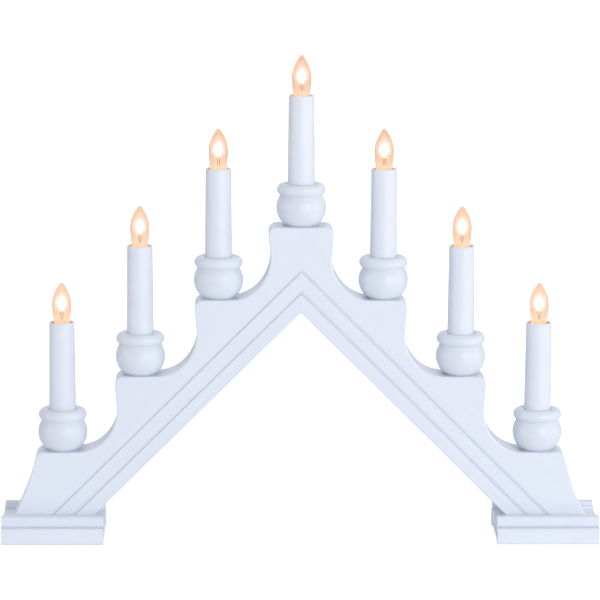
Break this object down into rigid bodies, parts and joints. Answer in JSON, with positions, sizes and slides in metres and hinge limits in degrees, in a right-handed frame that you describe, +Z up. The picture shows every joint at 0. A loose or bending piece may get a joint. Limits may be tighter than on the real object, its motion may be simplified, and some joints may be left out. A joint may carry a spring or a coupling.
{
  "type": "electric candle arch",
  "caption": "Stepped wooden window candle arch, two mitred legs on moulded feet, turned cups, candle tubes and small flame-shaped bulbs, wired through a channel at the back.",
  "frame": {"origin": "on the ground, under the mitre, in the middle of the feet from front to back", "axes": "+X to the viewer's right, +Y to the back, +Z up"},
  "size_m": [0.424, 0.062, 0.3449],
  "materials": {
    "painted_wood": "white satin paint",
    "raw_wood": "raw",
    "hardboard": "smooth",
    "tube_plastic": "semi-gloss",
    "holder_plastic": "matt",
    "brass": "bright",
    "bulb_glass": "clear",
    "mount_metal": "satin",
    "steel": "zinc plated",
    "wire_plastic": "soft",
    "bush_plastic": "soft"
  },
  "bodies": {
    "arch": {"left_leg": "painted_wood", "right_leg": "painted_wood", "left_foot": "painted_wood", "right_foot": "painted_wood", "apex_dowels": "raw_wood", "foot_screws": "steel", "left_channel_strip": "hardboard", "right_channel_strip": "hardboard", "strip_pins": "steel", "lead_inlet_bush": "bush_plastic", "lamp_shells": "brass", "lamp_contacts": "brass", "link_wires": "wire_plastic", "supply_wire": "wire_plastic", "return_wire": "wire_plastic", "cup_1": "painted_wood", "cup_2": "painted_wood", "cup_3": "painted_wood", "cup_4": "painted_wood", "cup_5": "painted_wood", "cup_6": "painted_wood", "cup_7": "painted_wood", "candle_tube_1": "tube_plastic", "candle_tube_2": "tube_plastic", "candle_tube_3": "tube_plastic", "candle_tube_4": "tube_plastic", "candle_tube_5": "tube_plastic", "candle_tube_6": "tube_plastic", "candle_tube_7": "tube_plastic", "lamp_holder_1": "holder_plastic", "lamp_holder_2": "holder_plastic", "lamp_holder_3": "holder_plastic", "lamp_holder_4": "holder_plastic", "lamp_holder_5": "holder_plastic", "lamp_holder_6": "holder_plastic", "lamp_holder_7": "holder_plastic"},
    "bulb_1": {"bulb_cap_1": "brass", "bulb_glass_1": "bulb_glass", "bulb_filament_1": "mount_metal"},
    "bulb_2": {"bulb_cap_2": "brass", "bulb_glass_2": "bulb_glass", "bulb_filament_2": "mount_metal"},
    "bulb_3": {"bulb_cap_3": "brass", "bulb_glass_3": "bulb_glass", "bulb_filament_3": "mount_metal"},
    "bulb_4": {"bulb_cap_4": "brass", "bulb_glass_4": "bulb_glass", "bulb_filament_4": "mount_metal"},
    "bulb_5": {"bulb_cap_5": "brass", "bulb_glass_5": "bulb_glass", "bulb_filament_5": "mount_metal"},
    "bulb_6": {"bulb_cap_6": "brass", "bulb_glass_6": "bulb_glass", "bulb_filament_6": "mount_metal"},
    "bulb_7": {"bulb_cap_7": "brass", "bulb_glass_7": "bulb_glass", "bulb_filament_7": "mount_metal"}
  },
  "joints": [
    {"name": "bulb_1_unscrew", "type": "slide", "parent": "arch", "child": "bulb_1", "axis": [0, 0, 1], "range_m": [0, 0.01]},
    {"name": "bulb_2_unscrew", "type": "slide", "parent": "arch", "child": "bulb_2", "axis": [0, 0, 1], "range_m": [0, 0.01]},
    {"name": "bulb_3_unscrew", "type": "slide", "parent": "arch", "child": "bulb_3", "axis": [0, 0, 1], "range_m": [0, 0.01]},
    {"name": "bulb_4_unscrew", "type": "slide", "parent": "arch", "child": "bulb_4", "axis": [0, 0, 1], "range_m": [0, 0.01]},
    {"name": "bulb_5_unscrew", "type": "slide", "parent": "arch", "child": "bulb_5", "axis": [0, 0, 1], "range_m": [0, 0.01]},
    {"name": "bulb_6_unscrew", "type": "slide", "parent": "arch", "child": "bulb_6", "axis": [0, 0, 1], "range_m": [0, 0.01]},
    {"name": "bulb_7_unscrew", "type": "slide", "parent": "arch", "child": "bulb_7", "axis": [0, 0, 1], "range_m": [0, 0.01]}
  ]
}
